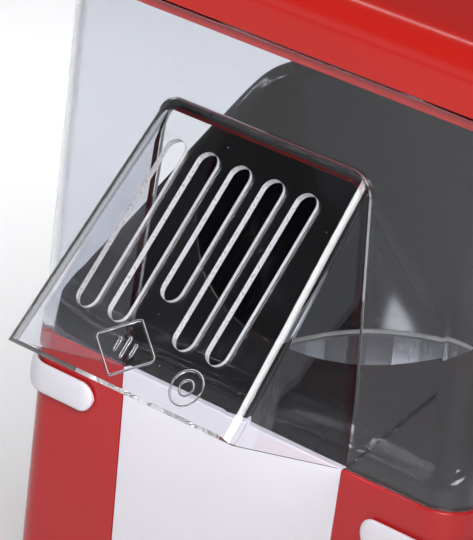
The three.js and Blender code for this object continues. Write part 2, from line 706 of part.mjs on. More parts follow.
function chute() {
  const slopeLength = Math.hypot(chuteReach, chuteTop - chuteLip);
  const down = new THREE.Vector3(0, -chuteReach, chuteLip - chuteTop).divideScalar(slopeLength);
  const inward = new THREE.Vector3(0, -down.z, down.y);
  const start = seamHeight + gap;
  const upright = chuteWall * slopeLength / chuteReach; // the sloped panel's thickness measured straight down
  const over = chuteReach * 1.15;
  const outer = alongFront([[-clearWall, chuteSection(0, 0, 0, start)], [0, chuteSection(0, 0, 0, start)],
    [chuteReach, chuteSection(chuteReach, 0, 0, start)]]);
  const inner = alongFront([[-clearWall - 1, chuteSection(0, -chuteWall, upright, start - 40)],
    [0, chuteSection(0, -chuteWall, upright, start - 40)],
    [chuteReach, chuteSection(chuteReach, -chuteWall, upright, start - 40)],
    [over, chuteSection(over, -chuteWall, upright, start - 40)]]);
  const lipY = frontY - chuteReach;
  const lipEdge = [lipY + down.y + inward.y * chuteWall, lipZ + down.z + inward.z * chuteWall];
  const inside = frontY + clearWall + 1;
  const sides = sideways([[inside, start], [inside, topZ + 1], [frontY, topZ + 1], [lipY, lipZ], lipEdge,
    [frontY, start]], -bodyWidth, bodyWidth);
  const place = new THREE.Matrix4().makeBasis(new THREE.Vector3(1, 0, 0), down, inward.clone().negate());
  const slots = Array.from({ length: slotCount }, (_, i) => {
    const middle = (slotCount - 1) / 2;
    const length = i === middle ? slotMiddleLength : slotLength;
    const radius = slotWidth / 2;
    const x = (i - middle) * slotPitch;
    const end = (centre, from) => Array.from({ length: 7 }, (_, k) => {
      const angle = from + k / 6 * Math.PI;
      return [x + radius * Math.cos(angle), centre + radius * Math.sin(angle)];
    });
    const outline = [...end(slotStart + length - radius, 0), ...end(slotStart + radius, Math.PI)];
    return solid(extruded(outline, 12).translate(0, 0, -6).applyMatrix4(place).translate(0, frontY, topZ));
  });
  return cut(outer.intersect(sides), inner, ...slots);
}

// ---- roof and measuring cup ----

const roofTop = hoodTop + gap + roofSide + roofFillet;
const collarTop = roofTop + roofCrown + collarHeight;

// The roof's outer or inner skin as rings from its side up to the crown.
function roofRings(inset, low) {
  const base = hoodTop + gap;
  const fillet = roofFillet - inset;
  const rings = [[inset, low], [inset, base + roofSide]];
  for (let i = 1; i <= 4; i++) {
    const angle = i / 4 * Math.PI / 2;
    rings.push([inset + fillet * (1 - Math.cos(angle)), base + roofSide + fillet * Math.sin(angle)]);
  }
  rings.push([inset + fillet + roofCrownRun, roofTop - inset + roofCrown]);
  return rings.map(([step, z]) => bodyOutline(step).map(([x, y]) => [x, y, z]));
}

function roofCover() {
  const base = hoodTop + gap;
  const shell = cut(loft(roofRings(0, base)), loft(roofRings(roofWall, base - 1)));
  const lipInset = Math.max(shellWall, clearWall) + gap;
  const bridgeTop = base + 3;
  const lip = cut(slab(bodyOutline(lipInset), base - roofLip, bridgeTop),
    slab(bodyOutline(lipInset + roofLipWall), base - roofLip - 1, bridgeTop + 1));
  const bridge = cut(slab(bodyOutline(roofWall / 2), base, bridgeTop),
    slab(bodyOutline(lipInset + roofLipWall), base - 1, bridgeTop + 1));
  const round = { x: 0, y: middleY, sides: 40 };
  const collar = drum(collarRadius, roofTop + roofCrown - roofWall, collarTop, round);
  return cut(join(shell, lip, bridge, collar), drum(fillRadius, hoodTop, collarTop + 1, round));
}

function measuringCup() {
  const rim = collarTop + gap;
  const low = rim - cupDepth;
  const top = rim + cupRimHeight;
  const floorRadius = cupRadius - cupTaper;
  return turned([[0, low], [floorRadius, low], [cupRadius, rim], [cupRadius + cupRim, rim],
    [cupRadius + cupRim, top], [cupRadius - cupWall, top], [floorRadius - cupWall, low + cupWall],
    [0, low + cupWall]], { x: 0, y: middleY, sides: 40 });
}

function addTop() {
  add('clear_hood', clearHood(), 'clear');
  add('chute', chute(), 'clear');
  add('roof_cover', roofCover(), 'red');
  add('measuring_cup', measuringCup(), 'clear');
}

addBase();
addBody();
addAirPath();
addBlower();
addControls();
addTop();

export default group;
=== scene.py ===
"""A table-top hot-air popcorn maker: its looks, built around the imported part.

Lengths are metres in the part's own frame, and a value named in millimetres is turned to metres by mm().
"""
import math

import bpy
import numpy as np
from mathutils import Matrix, Vector


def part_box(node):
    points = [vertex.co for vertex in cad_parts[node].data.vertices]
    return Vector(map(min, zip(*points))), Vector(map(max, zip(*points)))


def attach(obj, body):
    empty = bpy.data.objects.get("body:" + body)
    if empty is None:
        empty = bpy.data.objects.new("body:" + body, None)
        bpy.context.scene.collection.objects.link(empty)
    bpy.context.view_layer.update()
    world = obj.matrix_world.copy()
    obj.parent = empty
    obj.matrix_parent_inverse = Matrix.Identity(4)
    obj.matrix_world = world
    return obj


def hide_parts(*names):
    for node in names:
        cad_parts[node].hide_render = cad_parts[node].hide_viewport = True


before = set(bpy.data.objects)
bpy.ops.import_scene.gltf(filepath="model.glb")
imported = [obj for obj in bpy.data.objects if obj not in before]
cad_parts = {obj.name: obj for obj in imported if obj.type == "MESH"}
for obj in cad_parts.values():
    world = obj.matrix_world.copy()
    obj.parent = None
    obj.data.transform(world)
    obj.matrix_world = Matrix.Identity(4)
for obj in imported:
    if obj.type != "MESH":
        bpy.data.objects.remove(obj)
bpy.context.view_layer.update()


def mm(value):
    """Millimetres as metres."""
    return np.asarray(value) * 0.001 if np.ndim(value) else value * 0.001


# ---- places taken from the frame ----
shell_low, shell_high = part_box("base_shell")
hood_low, hood_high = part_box("clear_hood")
chute_low, chute_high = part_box("chute")
rear_low, rear_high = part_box("rear_housing")
roof_low, roof_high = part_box("roof_cover")
cup_low, cup_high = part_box("measuring_cup")
slide_low, slide_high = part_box("popcorn_slide")
gasket_low, gasket_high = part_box("chamber_gasket")
gland_low, gland_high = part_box("cord_gland")
bezel_low, bezel_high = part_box("switch_bezel")
HALF = shell_high.x
FRONT = shell_low.y
BACK = shell_high.y
SEAM = shell_high.z
HOOD_TOP = hood_high.z
HOOD_BACK = hood_high.y
MIDDLE = (FRONT + BACK) / 2
BOWL_Y = (gasket_low.y + gasket_high.y) / 2
GAP = hood_low.z - SEAM

# ---- sizes of the moulded pieces ----
CORNER = mm(12)
SHELL_WALL = mm(2.6)
CLEAR_WALL = mm(2.4)
PANEL_HALF = mm(49.1)
PANEL_TAPER = 0.032
PLINTH_TOP = shell_low.z + mm(12)
EDGE = mm(0.7)
CHUTE_HALF_LOW = chute_high.x
CHUTE_HALF_TOP = CHUTE_HALF_LOW - mm(5)
CHUTE_TOP = chute_high.z
CHUTE_REACH = FRONT - chute_low.y
CHUTE_LIP = SEAM + mm(24.3)
CHUTE_WALL = mm(2.5)
CHUTE_CORNER = mm(7.5)
SLOT_PITCH = mm(14.4)
SLOT_WIDTH = mm(8.4)
SLOT_START = mm(11.8)
SLOT_LENGTH = mm(62.8)
SLOT_MIDDLE = mm(50)

# ---- camera ----
AZIMUTH = math.radians(41.08)
ELEVATION = math.radians(20.49)
ROLL = math.radians(6.65)
DISTANCE = 1.35
FOCAL_LENGTH = 278.5
SENSOR = 36.0
AIM = Vector((0, FRONT, SEAM + mm(40)))
SIDE_SHIFT = mm(3.66)
RISE_SHIFT = mm(-10.64)


def add_camera():
    """A long lens at the front right of the machine, tipped so that the machine leans to the right."""
    sin_a, cos_a = math.sin(AZIMUTH), math.cos(AZIMUTH)
    sin_e, cos_e = math.sin(ELEVATION), math.cos(ELEVATION)
    right = Vector((cos_a, sin_a, 0))
    back = Vector((sin_a * cos_e, -cos_a * cos_e, sin_e))
    up = back.cross(right)
    place = AIM - right * SIDE_SHIFT - up * RISE_SHIFT + back * DISTANCE
    tipped_right = right * math.cos(ROLL) + up * math.sin(ROLL)
    tipped_up = up * math.cos(ROLL) - right * math.sin(ROLL)
    data = bpy.data.cameras.new("camera")
    data.lens = FOCAL_LENGTH
    data.sensor_width = SENSOR
    data.clip_start = 0.05
    camera = bpy.data.objects.new("camera", data)
    camera.matrix_world = Matrix((
        (tipped_right.x, tipped_up.x, back.x, place.x),
        (tipped_right.y, tipped_up.y, back.y, place.y),
        (tipped_right.z, tipped_up.z, back.z, place.z),
        (0, 0, 0, 1)))
    bpy.context.scene.collection.objects.link(camera)
    bpy.context.scene.camera = camera


add_camera()


# ---- meshes ----
def keep_flats_flat(piece):
    """Weights each corner's normal by face area, so that a clear wall is no lens beside its rounded edge."""
    even = piece.modifiers.new("even_normals", "WEIGHTED_NORMAL")
    even.keep_sharp = True
    even.weight = 50


def make_piece(name, points, faces, material, sharp=35):
    """An object from an (N, 3) array of points and a list of faces, turned so that its faces point outwards."""
    mesh = bpy.data.meshes.new(name)
    mesh.from_pydata(points.tolist(), [], faces)
    mesh.validate()
    mesh.calc_loop_triangles()
    triangles = np.empty(len(mesh.loop_triangles) * 3, np.int32)
    mesh.loop_triangles.foreach_get("vertices", triangles)
    corners = points[triangles.reshape(-1, 3)]
    volume = np.einsum("ij,ij->i", corners[:, 0], np.cross(corners[:, 1], corners[:, 2])).sum()
    if volume < 0:
        mesh.flip_normals()
    mesh.materials.append(material)
    mesh.shade_smooth()
    mesh.set_sharp_from_angle(angle=math.radians(sharp))
    piece = bpy.data.objects.new(name, mesh)
    bpy.context.scene.collection.objects.link(piece)
    keep_flats_flat(piece)
    return piece


def grid_faces(rows, columns, wrap_rows, wrap_columns, start=0):
    """Quads of a grid of rows by columns points, each way closed on itself or open."""
    i = np.arange(rows if wrap_rows else rows - 1)
    j = np.arange(columns if wrap_columns else columns - 1)
    a, b = np.meshgrid(i, j, indexing="ij")
    c, d = (a + 1) % rows, (b + 1) % columns
    quads = np.stack([a * columns + b, a * columns + d, c * columns + d, c * columns + b], -1)
    return (quads.reshape(-1, 4) + start).tolist()


def swept_faces(stations, count, start=0):
    """Faces of a closed section of count points carried along an open path, with a face across each end."""
    last = start + (stations - 1) * count
    ends = [list(range(start, start + count)), list(range(last, last + count))[::-1]]
    return grid_faces(stations, count, False, True, start) + ends


def fold_cap(first, count):
    """Faces across a closed loop of points that runs out along one side and back along the other."""
    half = count // 2
    return [[first + k, first + k + 1, first + count - 2 - k, first + count - 1 - k] for k in range(half - 1)]


def smooth(t):
    """A share from 0 to 1 eased at both ends: three times its square less twice its cube."""
    t = np.clip(t, 0, 1)
    return t * t * (3 - 2 * t)


def corner_arc(centre, radius, start, stop, steps):
    """Points on an arc: the centre plus the radius times (cos, sin) of an angle in degrees."""
    angle = np.radians(np.linspace(start, stop, steps + 1))
    return np.stack([centre[0] + radius * np.cos(angle), centre[1] + radius * np.sin(angle)], -1)


def wall_loop(inner, outer, low, high, radius, steps=4):
    """A wall's section as (offset, height) points: up the outer side and down the inner, with round corners."""
    up = [corner_arc((outer - radius, low + radius), radius, -90, 0, steps),
          corner_arc((outer - radius, high - radius), radius, 0, 90, steps)]
    down = [corner_arc((inner + radius, high - radius), radius, 90, 180, steps),
            corner_arc((inner + radius, low + radius), radius, 180, 270, steps)]
    return np.concatenate(up + down)


def plan_normals(path, closed):
    """Unit vectors to the right of the way the path runs, seen from above."""
    if closed:
        step = np.roll(path, -1, 0) - np.roll(path, 1, 0)
    else:
        step = np.gradient(path, axis=0)
    step /= np.linalg.norm(step, axis=1, keepdims=True)
    return np.stack([step[:, 1], -step[:, 0]], -1)


def carry(path, loops, closed, normals=None):
    """A section carried along a plan path: the path plus its normal times the offset, at the height."""
    if normals is None:
        normals = plan_normals(path, closed)
    spots = path[:, None, :] + normals[:, None, :] * loops[:, :, :1]
    return np.concatenate([spots, loops[:, :, 1:]], -1)


def body_path(start_x, step_count=14, closed=False):
    """The body's rounded plan outline, anticlockwise from (start_x, FRONT) round to its mirror image."""
    cx, low, high = HALF - CORNER, FRONT + CORNER, BACK - CORNER
    arcs = [corner_arc((cx, low), CORNER, -90, 0, step_count),
            corner_arc((cx, high), CORNER, 0, 90, step_count),
            corner_arc((-cx, high), CORNER, 90, 180, step_count),
            corner_arc((-cx, low), CORNER, 180, 270, step_count)]
    if closed:
        return np.concatenate(arcs)
    return np.concatenate([[[start_x, FRONT]], *arcs, [[-start_x, FRONT]]])


# ---- materials ----
def colour(hex_code):
    """An sRGB hex colour as the linear colour that shaders take."""
    parts = [int(hex_code[i:i + 2], 16) / 255 for i in (1, 3, 5)]
    return tuple(c / 12.92 if c <= 0.04045 else ((c + 0.055) / 1.055) ** 2.4 for c in parts) + (1.0,)


def node(tree, kind, links=(), **settings):
    """Adds a node, sets its named settings and sockets, and links the given sockets to it."""
    new = tree.nodes.new(kind)
    for key, value in settings.items():
        if hasattr(new, key):
            setattr(new, key, value)
        else:
            new.inputs[key.replace("_", " ")].default_value = value
    for socket, source in links:
        tree.links.new(source, new.inputs[socket])
    return new


def new_material(name):
    """An empty node material with its Principled shader and the object's own coordinates."""
    material = bpy.data.materials.new(name)
    material.use_nodes = True
    tree = material.node_tree
    tree.nodes.clear()
    shader = node(tree, "ShaderNodeBsdfPrincipled")
    output = node(tree, "ShaderNodeOutputMaterial", [("Surface", shader.outputs[0])])
    coordinates = node(tree, "ShaderNodeTexCoord").outputs["Object"]
    return material, tree, shader, output, coordinates


def moulded(name, base, shade, roughness, ripple_mm=9.0, ripple=0.012, grain_mm=0.5, grain=0.02, spread=0.06):
    """Moulded plastic: a slow sink ripple and fine grain, and a cloudy change of shine and colour."""
    material, tree, shader, _, place = new_material(name)
    shader.inputs["IOR"].default_value = 1.53
    cloud = node(tree, "ShaderNodeTexNoise", [("Vector", place)], Scale=1000 / 22, Detail=3.0)
    mix = node(tree, "ShaderNodeMix", [("Factor", cloud.outputs["Fac"])], data_type="RGBA")
    mix.inputs["A"].default_value = colour(base)
    mix.inputs["B"].default_value = colour(shade)
    tree.links.new(mix.outputs["Result"], shader.inputs["Base Color"])
    shine = node(tree, "ShaderNodeMapRange", [("Value", cloud.outputs["Fac"])],
                 To_Min=roughness - spread / 2, To_Max=roughness + spread / 2)
    tree.links.new(shine.outputs[0], shader.inputs["Roughness"])
    slow = node(tree, "ShaderNodeTexNoise", [("Vector", place)], Scale=1000 / ripple_mm, Detail=1.0)
    fine = node(tree, "ShaderNodeTexNoise", [("Vector", place)], Scale=1000 / grain_mm, Detail=2.0)
    wave = node(tree, "ShaderNodeBump", [("Height", slow.outputs["Fac"])], Strength=ripple, Distance=0.001)
    bump = node(tree, "ShaderNodeBump", [("Height", fine.outputs["Fac"]), ("Normal", wave.outputs[0])],
                Strength=grain, Distance=0.0002)
    tree.links.new(bump.outputs[0], shader.inputs["Normal"])
    return material


def clear_plastic(name, tint, roughness=0.015, speck_mm=7.0):
    """Clear moulded styrene: bends light, lets lamps through, and carries a few specks of dust."""
    material, tree, shader, output, place = new_material(name)
    shader.inputs["IOR"].default_value = 1.52
    shader.inputs["Base Color"].default_value = colour(tint)
    shader.inputs["Roughness"].default_value = roughness
    speck = node(tree, "ShaderNodeTexVoronoi", [("Vector", place)], Scale=1000 / speck_mm, Randomness=1.0)
    dust = node(tree, "ShaderNodeMapRange", [("Value", speck.outputs["Distance"])],
                From_Min=0.025, From_Max=0.035, To_Min=0.55, To_Max=1.0)
    tree.links.new(dust.outputs[0], shader.inputs["Transmission Weight"])
    slow = node(tree, "ShaderNodeTexNoise", [("Vector", place)], Scale=1000 / 30, Detail=1.0)
    wave = node(tree, "ShaderNodeBump", [("Height", slow.outputs["Fac"])], Strength=0.03, Distance=0.001)
    tree.links.new(wave.outputs[0], shader.inputs["Normal"])
    path = node(tree, "ShaderNodeLightPath")
    window = node(tree, "ShaderNodeBsdfTransparent")
    window.inputs["Color"].default_value = colour(tint)
    mix = node(tree, "ShaderNodeMixShader", [("Fac", path.outputs["Is Shadow Ray"]),
                                             (1, shader.outputs[0]), (2, window.outputs[0])])
    tree.links.new(mix.outputs[0], output.inputs["Surface"])
    return material


def metal(name, base, roughness, brush_mm=(0.3, 0.3, 14), strength=0.1):
    """Sheet or turned metal with fine brush lines."""
    material, tree, shader, _, place = new_material(name)
    shader.inputs["Metallic"].default_value = 1.0
    shader.inputs["Base Color"].default_value = colour(base)
    stretch = node(tree, "ShaderNodeMapping", [("Vector", place)])
    stretch.inputs["Scale"].default_value = [1000 / size for size in brush_mm]
    lines = node(tree, "ShaderNodeTexNoise", [("Vector", stretch.outputs[0])], Scale=1.0, Detail=3.0)
    shine = node(tree, "ShaderNodeMapRange", [("Value", lines.outputs["Fac"])],
                 To_Min=roughness - 0.08, To_Max=roughness + 0.08)
    tree.links.new(shine.outputs[0], shader.inputs["Roughness"])
    bump = node(tree, "ShaderNodeBump", [("Height", lines.outputs["Fac"])], Strength=strength, Distance=0.0002)
    tree.links.new(bump.outputs[0], shader.inputs["Normal"])
    return material


# Glossy moulded ABS: a deep, even red with a soft sheen, slightly wavy where the light grazes it.
red_abs = moulded("red_abs", "#B81F22", "#B01C20", 0.24)
# The same ABS polished to a higher gloss, so that the roof's round edge draws a light line. Its colour is
# painted lighter and warmer than the body's red, as painted light for the light the roof takes from above.
roof_abs_painted_lighter = moulded("red_abs_roof_painted_lighter", "#D0231A", "#C91F17", 0.18)
# Glossy moulded ABS in a cool white: its broad faces fall off softly and its edges stay crisp.
white_abs = moulded("white_abs", "#E4E0E6", "#DEDAE0", 0.32)
# Black heat-proof plastic with a near mirror finish: dark until it reflects a lamp or the red and white nearby.
black_plastic = moulded("black_heatproof_plastic", "#0E0D0F", "#121013", 0.12, spread=0.04)
# Unfilled nylon: milky and a little waxy.
fan_nylon = moulded("natural_nylon", "#D8D4C6", "#CFCABB", 0.45)
# Rubber: dull, with a grain that takes away every clear reflection.
rubber = moulded("black_rubber", "#1D1D1E", "#232324", 0.75, grain=0.3)
# Silicone: a soft grey with a faint bloom.
silicone = moulded("grey_silicone", "#B5B4AE", "#ABAAA4", 0.6)
# Pressed mica: brown and gold flakes with a rough sheen.
mica = moulded("mica_sheet", "#A48C58", "#8C7445", 0.5, grain=0.2)
# Glazed ceramic: ivory with small clear highlights.
ceramic = moulded("glazed_ceramic", "#DDD8CC", "#D2CDC0", 0.25)
# Lacquered circuit board: a clouded dark green.
circuit_board = moulded("lacquered_board", "#2C5A30", "#264F2A", 0.4)
# Clear polystyrene: the walls only show as a pale veil, dust specks and bright or dark lines along their edges.
clear_styrene = clear_plastic("clear_styrene", "#F0F2F7")
# The same styrene, thicker and polished: almost colourless, with sharper reflections and more specks.
chute_styrene = clear_plastic("clear_styrene_chute", "#F9FAFD", roughness=0.01, speck_mm=6.0)
# Spun aluminium: pale, with fine lines that stretch each highlight.
spun_aluminium = metal("spun_aluminium", "#C6C7C9", 0.3)
# Zinc-plated steel sheet: greyer and slightly cloudy.
zinc_steel = metal("zinc_plated_steel", "#A9ABAE", 0.35)
# Oxidised heating alloy: dark brown-grey wire with little shine.
heating_alloy = metal("oxidised_heating_alloy", "#5D554E", 0.5)


def edge_styrene():
    """The slots' moulded walls: the same styrene left satin, with a large opaque white share that is a painted
    highlight for the light caught inside the walls, so they read as white rims.
    """
    material, tree, shader, _, place = new_material("satin_styrene_edge_painted_highlight")
    shader.inputs["IOR"].default_value = 1.52
    shader.inputs["Base Color"].default_value = colour("#FBFAFD")
    # The opaque white share is a painted highlight: clear walls only look white where light is caught inside
    # them.
    shader.inputs["Transmission Weight"].default_value = 0.35
    streak = node(tree, "ShaderNodeTexNoise", [("Vector", place)], Scale=1000 / 1.2, Detail=3.0)
    shine = node(tree, "ShaderNodeMapRange", [("Value", streak.outputs["Fac"])], To_Min=0.2, To_Max=0.38)
    tree.links.new(shine.outputs[0], shader.inputs["Roughness"])
    bump = node(tree, "ShaderNodeBump", [("Height", streak.outputs["Fac"])], Strength=0.12, Distance=0.0003)
    tree.links.new(bump.outputs[0], shader.inputs["Normal"])
    return material


# Clear polystyrene with satin slot walls whose white is a painted highlight: five white rims stand out against
# the dark slide.
slot_wall_painted_highlight = edge_styrene()


# ---- openings cut through a piece ----
# Unit vectors along the frame's axes.
ALONG_X, ALONG_Y, ALONG_Z = np.eye(3)


def stadium(x, low, high, radius, steps=16):
    """A slot's outline with half-round ends, as (across, along) points about a middle line."""
    return np.concatenate([corner_arc((x, high - radius), radius, 0, 180, steps),
                           corner_arc((x, low + radius), radius, 180, 360, steps)])


def prisms(outlines, origin, across, along, inward, depths, material):
    """Closed prisms: each outline's (across, along) points, carried inward from one depth to another."""
    points, faces, start = [], [], 0
    for outline in outlines:
        count = len(outline)
        for depth in depths:
            points.append(np.asarray(origin) + outline[:, :1] * across + outline[:, 1:] * along
                          + depth * np.asarray(inward))
        faces += grid_faces(2, count, False, True, start)
        faces += [list(range(start, start + count))[::-1], list(range(start + count, start + 2 * count))]
        start += 2 * count
    return make_piece("cutter", np.concatenate(points), faces, material)


def shape(piece, steps, edge, sharp=40):
    """Joins or cuts a piece with others in turn, rounds its edges and keeps the result as its mesh."""
    piece.modifiers.clear()
    for operation, other in steps:
        change = piece.modifiers.new(operation.lower(), "BOOLEAN")
        change.operation = operation
        change.solver = "EXACT"
        change.material_mode = "TRANSFER"
        change.object = other
    if edge:
        bevel = piece.modifiers.new("edges", "BEVEL")
        bevel.width = edge
        bevel.segments = 3
        bevel.limit_method = "ANGLE"
        bevel.angle_limit = math.radians(40)
        bevel.use_clamp_overlap = True
    graph = bpy.context.evaluated_depsgraph_get()
    shaped = bpy.data.meshes.new_from_object(piece.evaluated_get(graph))
    piece.modifiers.clear()
    piece.data = shaped
    shaped.shade_smooth()
    shaped.set_sharp_from_angle(angle=math.radians(sharp))
    keep_flats_flat(piece)
    for _, other in steps:
        bpy.data.objects.remove(other)


# ---- base ----
def base_shell():
    """The red base: a wall section carried round the body from one side of the front window to the other.

    The window's edges lean in downwards, so the first and last points of the path move with height, and a
    plinth of the same section closes the ring below the window.
    """
    path = body_path(PANEL_HALF)
    loop = wall_loop(-SHELL_WALL, 0, PLINTH_TOP - mm(0.2), SEAM, EDGE)
    points = carry(path, np.repeat(loop[None], len(path), 0), False)
    lean = PANEL_TAPER * (SEAM - points[..., 2])
    points[0, :, 0] -= lean[0]
    points[-1, :, 0] += lean[-1]
    count = len(loop)
    faces = swept_faces(len(path), count)
    ring = body_path(0, closed=True)
    band = wall_loop(-SHELL_WALL, 0, shell_low.z, PLINTH_TOP, EDGE)
    plinth = carry(ring, np.repeat(band[None], len(ring), 0), True)
    start = len(path) * count
    faces += grid_faces(len(ring), len(band), True, True, start)
    piece = make_piece("red_base_shell", np.concatenate([points.reshape(-1, 3), plinth.reshape(-1, 3)]),
                       faces, red_abs)
    vent_count, vent_pitch, vent_middle, vent_radius = 9, mm(9), mm(-10), mm(2)
    vents = [stadium(vent_middle + (i - vent_count // 2) * vent_pitch, mm(46), mm(74), vent_radius, 8)
             for i in range(vent_count)]
    gland_middle = (gland_low + gland_high) / 2
    gland_hole = mm(6.3)
    round_hole = corner_arc((gland_middle.x, gland_middle.z), gland_hole, 0, 360, 32)[:-1]
    switch_middle = (bezel_low + bezel_high) / 2
    side, rise = mm(6.5), mm(9.5)
    square_hole = np.array([[side, rise], [-side, rise], [-side, -rise], [side, -rise]])
    through = (-mm(2), mm(5))
    rear = prisms([*vents, round_hole], (0, BACK, 0), ALONG_X, ALONG_Z, -ALONG_Y, through, red_abs)
    right = prisms([square_hole], (HALF, switch_middle.y, switch_middle.z), ALONG_Y, ALONG_Z, -ALONG_X,
                   through, red_abs)
    shape(piece, [("DIFFERENCE", rear), ("DIFFERENCE", right)], 0)
    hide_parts("base_shell")
    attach(piece, "base")


def front_panel():
    """The white front panel: a flat trapezium with round edges, a little inside its window all round."""
    low, high = PLINTH_TOP + GAP, SEAM
    depth = SHELL_WALL + mm(3)
    edge = mm(0.5)
    angle = np.linspace(0, math.pi / 2, 5)
    shrink = np.concatenate([edge * (1 - np.sin(angle)), [0]])
    back = np.concatenate([edge * (1 - np.cos(angle)), [depth]])
    points = []
    for small, y in zip(shrink, back):
        bottom, top = low + small, high - small
        half_low = PANEL_HALF - PANEL_TAPER * (SEAM - bottom) - GAP - small
        half_high = PANEL_HALF - PANEL_TAPER * (SEAM - top) - GAP - small
        points += [[-half_low, FRONT + y, bottom], [half_low, FRONT + y, bottom],
                   [half_high, FRONT + y, top], [-half_high, FRONT + y, top]]
    faces = grid_faces(len(shrink), 4, False, True)
    faces += [[0, 1, 2, 3], list(range(len(points) - 4, len(points)))[::-1]]
    piece = make_piece("white_front_panel", np.array(points), faces, white_abs)
    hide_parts("front_panel")
    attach(piece, "base")


def side_grip(name, side):
    """A white grip: a low oval section carried round the corners and bowed out along the side.

    The section's half height follows a half circle near both ends, so each end is round.
    """
    low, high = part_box(name)
    middle, half = (low.z + high.z) / 2, (high.z - low.z) / 2
    straight_low, straight_high = FRONT + CORNER, BACK - CORNER
    standoff, lead, rise_run = mm(6.2), mm(12), mm(24)
    run = np.linspace(straight_low, straight_high, 61)[1:-1]
    bow = standoff * smooth((run - straight_low - lead) / rise_run)
    bow *= smooth((straight_high - lead - run) / rise_run)
    cx = HALF - CORNER
    end = mm(61)
    front_run = end + (cx - end) * (1 - np.cos(np.linspace(0, math.pi / 2, 22)[:-1]))
    front = np.stack([front_run, np.full_like(front_run, FRONT)], -1)
    path = np.concatenate([front, corner_arc((cx, straight_low), CORNER, -90, 0, 14),
                           np.stack([HALF + bow, run], -1),
                           corner_arc((cx, straight_high), CORNER, 0, 40, 14)])
    normals = plan_normals(path, False)
    travel = np.concatenate([[0], np.cumsum(np.linalg.norm(np.diff(path, axis=0), axis=1))])
    from_end = np.minimum(travel, travel[-1] - travel)
    rise = np.where(from_end < half, np.sqrt(np.clip(half ** 2 - (half - from_end) ** 2, 0, None)), half)
    rise = np.maximum(rise, mm(0.05))
    angle = np.linspace(0, 2 * math.pi, 33)[:-1]
    wall_in, wall_out = GAP, mm(3.1)
    across = np.sign(np.cos(angle)) * np.abs(np.cos(angle)) ** 0.7
    upward = np.sign(np.sin(angle)) * np.abs(np.sin(angle)) ** 0.85
    thick = (wall_out - wall_in) / 2 * np.minimum(1, 0.35 + 0.65 * rise / half)
    offsets = wall_in + thick[:, None] * (1 + across[None])
    heights = middle + rise[:, None] * upward[None]
    points = carry(path, np.stack([offsets, heights], -1), False, normals)
    points[..., 0] *= side
    faces = swept_faces(len(path), len(angle))
    piece = make_piece("white_" + name, points.reshape(-1, 3), faces, white_abs, sharp=50)
    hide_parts(name)
    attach(piece, "base")


# ---- hood and chute ----
def chute_half(z, top, grow=0.0):
    """Half the chute's width at a height: straight below the lip, leaning in above it, round below the top."""
    z = np.asarray(z, float)
    lean = np.clip((z - CHUTE_LIP) / (CHUTE_TOP - CHUTE_LIP), 0, 1) * (CHUTE_HALF_LOW - CHUTE_HALF_TOP)
    half = CHUTE_HALF_LOW - lean + grow
    radius = CHUTE_CORNER + grow
    over = np.clip(z - (top - radius), 0, radius)
    return half - radius + np.sqrt(np.clip(radius ** 2 - over ** 2, 0, None))


def clear_hood():
    """The clear hood: a thin wall carried round the front from one rear edge to the other.

    Its section's lower end follows the outline of the window for the chute, so the wall is one closed piece.
    """
    low, widen = SEAM + GAP, mm(0.15)
    heights = low + (CHUTE_TOP - SEAM) * np.sin(np.linspace(0, math.pi / 2, 40))
    heights = np.unique(np.concatenate([[low, CHUTE_LIP], heights]))
    half = chute_half(heights, CHUTE_TOP + GAP, GAP)
    half = half + widen * (heights[-1] - heights) / (heights[-1] - heights[0])
    window_x = np.concatenate([-half, half[::-1]])
    window_z = np.concatenate([heights, heights[::-1]])
    cx = HALF - CORNER
    left = np.concatenate([[[-HALF, HOOD_BACK]], corner_arc((-cx, FRONT + CORNER), CORNER, 180, 270, 18)])
    front = np.stack([window_x, np.full_like(window_x, FRONT)], -1)
    path = np.concatenate([left, front, left[::-1] * [-1, 1]])
    lows = np.concatenate([np.full(len(left), low), window_z, np.full(len(left), low)])
    loops = np.stack([wall_loop(-CLEAR_WALL, 0, foot, HOOD_TOP, mm(0.5)) for foot in lows])
    normals = plan_normals(path, False)
    front_run = slice(len(left), len(left) + len(window_x))
    normals[front_run] = [0, -1]
    points = carry(path, loops, False, normals)
    faces = swept_faces(len(path), loops.shape[1])
    piece = make_piece("clear_front_hood", points.reshape(-1, 3), faces, clear_styrene)
    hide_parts("clear_hood")
    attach(piece, "hood")


def chute_frame():
    """The sloped panel's top edge, and unit vectors down along it and into the chute."""
    drop = CHUTE_TOP - CHUTE_LIP
    down = np.array([0, -CHUTE_REACH, -drop]) / math.hypot(CHUTE_REACH, drop)
    return np.array([0, FRONT, CHUTE_TOP]), down, np.array([0, -down[2], down[1]])


def chute_body():
    """The chute before it is cut: an upside-down U section carried forwards as its sloped top comes down.

    At a distance in front of the hood the top is lower by the distance times the slope. The sides end on a
    line that rises from the seam to the lip.
    """
    slope = (CHUTE_TOP - CHUTE_LIP) / CHUTE_REACH
    upright = CHUTE_WALL * math.hypot(1, slope)
    stations = np.concatenate([[-CLEAR_WALL], np.linspace(0, CHUTE_REACH * 1.1, 40)])
    turn = np.sin(np.linspace(0, math.pi / 2, 10))
    low = SEAM - mm(60)
    loops = []
    for ahead in stations:
        sides = []
        for grow, drop in ((0.0, 0.0), (-CHUTE_WALL, upright)):
            top = CHUTE_TOP - slope * max(ahead, 0) - drop
            radius = CHUTE_CORNER + grow
            z = np.concatenate([np.linspace(low, top - radius, 12)[:-1], top - radius + radius * turn])
            x = chute_half(z, top, grow)
            sides.append(np.stack([x, np.full_like(z, FRONT - ahead), z], -1))
        outer, inner = sides
        mirror = [-1, 1, 1]
        loops.append(np.concatenate([outer * mirror, outer[::-1], inner, inner[::-1] * mirror]))
    points = np.array(loops)
    count = points.shape[1]
    faces = grid_faces(len(stations), count, False, True)
    faces += fold_cap(0, count) + [face[::-1] for face in fold_cap((len(stations) - 1) * count, count)]
    return make_piece("clear_chute", points.reshape(-1, 3), faces, chute_styrene)


